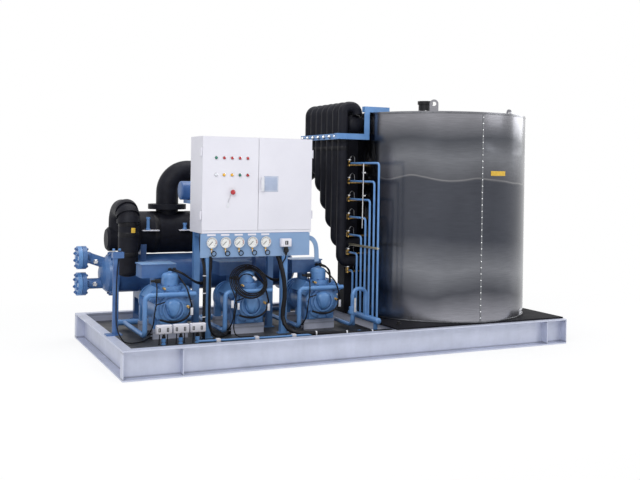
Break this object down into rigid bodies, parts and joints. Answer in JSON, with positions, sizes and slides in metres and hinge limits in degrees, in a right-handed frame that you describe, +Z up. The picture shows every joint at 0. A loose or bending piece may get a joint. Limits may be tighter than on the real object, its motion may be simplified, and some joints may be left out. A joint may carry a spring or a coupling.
{
  "type": "flake ice machine",
  "caption": "Skid mounted flake ice machine with a steel drum evaporator, rotating scraper, compressors, water cooled condenser, insulated suction pipes and a control cabinet.",
  "frame": {"origin": "centre of the bounding box on the ground", "axes": "+X along the skid from the water flanges to the ice tank, +Y from the cabinet's front to the condenser at the back, +Z up"},
  "size_m": [4.05, 1.83, 2.188],
  "materials": {
    "galvanised_steel": "hot dip galvanised, mottled grey",
    "floor_steel": "dark chequered plate",
    "black_sheet": "glossy black sheet",
    "stainless_steel": "brushed stainless sheet",
    "plain_steel": "plain machined steel",
    "pipe_insulation": "black closed cell foam with a soft sheen",
    "blue_paint": "satin mid blue paint",
    "light_blue_paint": "satin light blue paint",
    "brass": "brass",
    "zinc_steel": "zinc plated",
    "white_paint": "satin white powder coat",
    "light_plastic": "light grey plastic",
    "black_plastic": "black",
    "lamp_plastic": "coloured lenses in grey bezels",
    "green_plastic": "green",
    "red_plastic": "red",
    "gauge_case": "polished case with a white dial",
    "cable_rubber": "black cable sheath"
  },
  "bodies": {
    "machine": {"front_rail": "galvanised_steel", "rear_rail": "galvanised_steel", "left_rail": "galvanised_steel", "right_rail": "galvanised_steel", "cross_members": "galvanised_steel", "floor_plate": "floor_steel", "base_sheet": "black_sheet", "tank_jacket": "stainless_steel", "evaporator_drum": "plain_steel", "tank_lid": "stainless_steel", "gear_case": "plain_steel", "drive_motor": "black_plastic", "drum_base": "plain_steel", "suction_pipes": "pipe_insulation", "inlet_cover": "pipe_insulation", "suction_header": "pipe_insulation", "suction_main": "pipe_insulation", "accumulator": "pipe_insulation", "standpipe": "pipe_insulation", "header_bracket": "blue_paint", "liquid_header": "blue_paint", "liquid_lines": "blue_paint", "expansion_valves": "brass", "feed_pipe": "blue_paint", "compressors": "blue_paint", "cylinder_heads": "blue_paint", "terminal_boxes": "blue_paint", "end_covers": "blue_paint", "discharge_pipes": "blue_paint", "condenser_shell": "blue_paint", "condenser_covers": "blue_paint", "counter_flanges": "blue_paint", "flange_bolts": "zinc_steel", "support_posts": "blue_paint", "oil_separator": "blue_paint", "cabinet_body": "white_paint", "switchgear": "light_plastic", "cabinet_frame": "blue_paint", "gauge_panel": "light_blue_paint", "pressure_gauges": "gauge_case", "instruments": "light_plastic", "power_cables": "cable_rubber", "cable_coil": "cable_rubber", "cable_lead": "cable_rubber"},
    "rotor": {"rotor_shaft": "plain_steel", "ice_scraper": "plain_steel", "water_distributor": "plain_steel"},
    "left_door": {"left_door": "white_paint", "pilot_lamps": "lamp_plastic"},
    "right_door": {"right_door": "white_paint"},
    "door_latch": {"door_latch": "light_plastic"},
    "start_button": {"start_button": "green_plastic"},
    "stop_button": {"stop_button": "red_plastic"},
    "emergency_button": {"emergency_button": "red_plastic"},
    "valve_lever": {"valve_lever": "plain_steel"},
    "gauge_needle_1": {"gauge_needle_1": "black_plastic"},
    "gauge_needle_2": {"gauge_needle_2": "black_plastic"},
    "gauge_needle_3": {"gauge_needle_3": "black_plastic"},
    "gauge_needle_4": {"gauge_needle_4": "black_plastic"},
    "gauge_needle_5": {"gauge_needle_5": "black_plastic"}
  },
  "joints": [
    {"name": "rotor_spin", "type": "hinge", "parent": "machine", "child": "rotor", "pos_m": [1.181, -0.065, 1], "axis": [0, 0, 1], "continuous": true},
    {"name": "left_door_hinge", "type": "hinge", "parent": "machine", "child": "left_door", "pos_m": [-1.223, -0.305, 1.4], "axis": [0, 0, -1], "range_deg": [0, 110]},
    {"name": "right_door_hinge", "type": "hinge", "parent": "machine", "child": "right_door", "pos_m": [-0.237, -0.305, 1.4], "axis": [0, 0, 1], "range_deg": [0, 110]},
    {"name": "latch_turn", "type": "hinge", "parent": "right_door", "child": "door_latch", "pos_m": [-0.7, -0.315, 1.443], "axis": [0, -1, 0], "range_deg": [0, 90]},
    {"name": "start_press", "type": "slide", "parent": "left_door", "child": "start_button", "axis": [0, 1, 0], "range_m": [0, 0.004], "stiffness_N_per_m": 600},
    {"name": "stop_press", "type": "slide", "parent": "left_door", "child": "stop_button", "axis": [0, 1, 0], "range_m": [0, 0.004], "stiffness_N_per_m": 600},
    {"name": "emergency_press", "type": "slide", "parent": "left_door", "child": "emergency_button", "axis": [0, 1, 0], "range_m": [0, 0.006]},
    {"name": "feed_valve_turn", "type": "hinge", "parent": "machine", "child": "valve_lever", "pos_m": [0.125, -0.435, 0.325], "axis": [0, -1, 0], "range_deg": [0, 90]},
    {"name": "needle_1_turn", "type": "hinge", "parent": "machine", "child": "gauge_needle_1", "pos_m": [-1.131, -0.325, 0.923], "axis": [0, 1, 0], "range_deg": [0, 270]},
    {"name": "needle_2_turn", "type": "hinge", "parent": "machine", "child": "gauge_needle_2", "pos_m": [-1.014, -0.325, 0.923], "axis": [0, 1, 0], "range_deg": [0, 270]},
    {"name": "needle_3_turn", "type": "hinge", "parent": "machine", "child": "gauge_needle_3", "pos_m": [-0.897, -0.325, 0.923], "axis": [0, 1, 0], "range_deg": [0, 270]},
    {"name": "needle_4_turn", "type": "hinge", "parent": "machine", "child": "gauge_needle_4", "pos_m": [-0.78, -0.325, 0.923], "axis": [0, 1, 0], "range_deg": [0, 270]},
    {"name": "needle_5_turn", "type": "hinge", "parent": "machine", "child": "gauge_needle_5", "pos_m": [-0.663, -0.325, 0.923], "axis": [0, 1, 0], "range_deg": [0, 270]}
  ]
}
